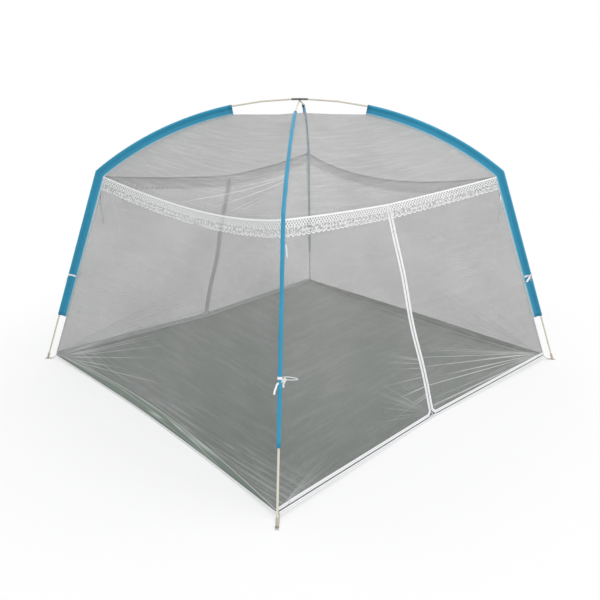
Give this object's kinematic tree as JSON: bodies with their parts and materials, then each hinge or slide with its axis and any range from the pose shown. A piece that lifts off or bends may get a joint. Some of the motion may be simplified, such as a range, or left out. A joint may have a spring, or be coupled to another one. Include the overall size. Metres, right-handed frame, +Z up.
{
  "type": "mosquito net tent",
  "caption": "Free-standing mosquito net tent: crossed jointed poles in blue sleeves, white net with lace, zipped T doors in both long sides and a grey-green groundsheet.",
  "frame": {"origin": "on the ground, at the middle of the floor, under the crossing of the poles", "axes": "+Z up; +X along the longer side of the floor; the door walls face -Y (front) and +Y (back), the plain walls -X (left) and +X (right)"},
  "size_m": [2.1014, 1.9974, 1.4102],
  "materials": {
    "pole_fibreglass": "drawn fibreglass tube, satin",
    "ferrule_steel": "drawn steel, dull",
    "slider_metal": "die cast, painted pale grey",
    "cord_rubber": "braided elastic cord",
    "cap_plastic": "moulded",
    "sleeve_blue": "woven polyester, light sheen",
    "net_white": "fine polyester mesh",
    "lace_white": "knitted lace",
    "tape_white": "woven tape",
    "floor_grey": "coated woven polyester"
  },
  "bodies": {
    "root": {"leg_rod_front_right": "pole_fibreglass", "roof_rod_front_right": "pole_fibreglass", "leg_rod_back_left": "pole_fibreglass", "roof_rod_back_left": "pole_fibreglass", "leg_rod_front_left": "pole_fibreglass", "roof_rod_front_left": "pole_fibreglass", "leg_rod_back_right": "pole_fibreglass", "roof_rod_back_right": "pole_fibreglass", "elbow_ferrule_front_right": "ferrule_steel", "elbow_ferrule_back_left": "ferrule_steel", "elbow_ferrule_front_left": "ferrule_steel", "elbow_ferrule_back_right": "ferrule_steel", "crossing_ferrule_over": "ferrule_steel", "crossing_ferrule_under": "ferrule_steel", "shock_cord_over": "cord_rubber", "shock_cord_under": "cord_rubber", "foot_cap_front_right": "cap_plastic", "foot_cap_back_left": "cap_plastic", "foot_cap_front_left": "cap_plastic", "foot_cap_back_right": "cap_plastic", "sleeve_front_right": "sleeve_blue", "sleeve_back_left": "sleeve_blue", "sleeve_front_left": "sleeve_blue", "sleeve_back_right": "sleeve_blue", "corner_tab_front_right": "tape_white", "corner_tab_back_left": "tape_white", "corner_tab_front_left": "tape_white", "corner_tab_back_right": "tape_white", "sleeve_tie_front_right": "tape_white", "sleeve_tie_back_left": "tape_white", "sleeve_tie_front_left": "tape_white", "sleeve_tie_back_right": "tape_white", "groundsheet": "floor_grey", "net_roof": "net_white", "lace_valance_front": "lace_white", "net_wall_front": "net_white", "floor_zip_tape_front": "tape_white", "lace_valance_right": "lace_white", "net_wall_right": "net_white", "lace_valance_back": "lace_white", "net_wall_back": "net_white", "floor_zip_tape_back": "tape_white", "lace_valance_left": "lace_white", "net_wall_left": "net_white"},
    "door_front_left": {"door_front_left": "net_white"},
    "door_front_right": {"door_front_right": "net_white"},
    "door_back_right": {"door_back_right": "net_white"},
    "door_back_left": {"door_back_left": "net_white"},
    "slider_front_top": {"slider_front_top": "slider_metal"},
    "pull_front_top": {"pull_front_top": "slider_metal"},
    "slider_front_left": {"slider_front_left": "slider_metal"},
    "pull_front_left": {"pull_front_left": "slider_metal"},
    "slider_front_right": {"slider_front_right": "slider_metal"},
    "pull_front_right": {"pull_front_right": "slider_metal"},
    "slider_back_top": {"slider_back_top": "slider_metal"},
    "pull_back_top": {"pull_back_top": "slider_metal"},
    "slider_back_right": {"slider_back_right": "slider_metal"},
    "pull_back_right": {"pull_back_right": "slider_metal"},
    "slider_back_left": {"slider_back_left": "slider_metal"},
    "pull_back_left": {"pull_back_left": "slider_metal"}
  },
  "joints": [
    {"name": "door_front_left_swing", "type": "hinge", "parent": "root", "child": "door_front_left", "pos_m": [-0.00002, -0.62192, 0.8531], "axis": [-0.7308, -0.2501, -0.6351], "range_deg": [0, 110]},
    {"name": "door_front_right_swing", "type": "hinge", "parent": "root", "child": "door_front_right", "pos_m": [-0.00007, -0.62192, 0.8531], "axis": [-0.7309, 0.2501, 0.635], "range_deg": [0, 110]},
    {"name": "door_back_right_swing", "type": "hinge", "parent": "root", "child": "door_back_right", "pos_m": [0.00002, 0.62192, 0.8531], "axis": [0.7308, 0.2501, -0.6351], "range_deg": [0, 110]},
    {"name": "door_back_left_swing", "type": "hinge", "parent": "root", "child": "door_back_left", "pos_m": [0.00007, 0.62192, 0.8531], "axis": [0.7309, -0.2501, 0.635], "range_deg": [0, 110]},
    {"name": "slider_front_top_slide", "type": "slide", "parent": "root", "child": "slider_front_top", "axis": [-0.0001, 0.322, 0.9468], "range_m": [0, 0.904]},
    {"name": "pull_front_top_swing", "type": "hinge", "parent": "slider_front_top", "child": "pull_front_top", "pos_m": [0, -0.90555, 0.0285], "axis": [-1, 0, 0], "range_deg": [0, 165]},
    {"name": "slider_front_left_slide", "type": "slide", "parent": "root", "child": "slider_front_left", "axis": [-0.999, -0.0419, 0.014], "range_m": [0, 0.9628]},
    {"name": "pull_front_left_swing", "type": "hinge", "parent": "slider_front_left", "child": "pull_front_left", "pos_m": [-0.00783, -0.90975, 0.01725], "axis": [-0.0002, 0.322, 0.9468], "range_deg": [0, 150]},
    {"name": "slider_front_right_slide", "type": "slide", "parent": "root", "child": "slider_front_right", "axis": [0.999, -0.0419, 0.014], "range_m": [0, 0.9628]},
    {"name": "pull_front_right_swing", "type": "hinge", "parent": "slider_front_right", "child": "pull_front_right", "pos_m": [0.00783, -0.90975, 0.01725], "axis": [-0.0002, -0.3219, -0.9468], "range_deg": [0, 150]},
    {"name": "slider_back_top_slide", "type": "slide", "parent": "root", "child": "slider_back_top", "axis": [0.0001, -0.322, 0.9468], "range_m": [0, 0.904]},
    {"name": "pull_back_top_swing", "type": "hinge", "parent": "slider_back_top", "child": "pull_back_top", "pos_m": [0, 0.90555, 0.0285], "axis": [1, 0, 0], "range_deg": [0, 165]},
    {"name": "slider_back_right_slide", "type": "slide", "parent": "root", "child": "slider_back_right", "axis": [0.999, 0.0419, 0.014], "range_m": [0, 0.9628]},
    {"name": "pull_back_right_swing", "type": "hinge", "parent": "slider_back_right", "child": "pull_back_right", "pos_m": [0.00783, 0.90975, 0.01725], "axis": [0.0002, -0.322, 0.9468], "range_deg": [0, 150]},
    {"name": "slider_back_left_slide", "type": "slide", "parent": "root", "child": "slider_back_left", "axis": [-0.999, 0.0419, 0.014], "range_m": [0, 0.9628]},
    {"name": "pull_back_left_swing", "type": "hinge", "parent": "slider_back_left", "child": "pull_back_left", "pos_m": [-0.00783, 0.90975, 0.01725], "axis": [0.0002, 0.3219, -0.9468], "range_deg": [0, 150]}
  ]
}
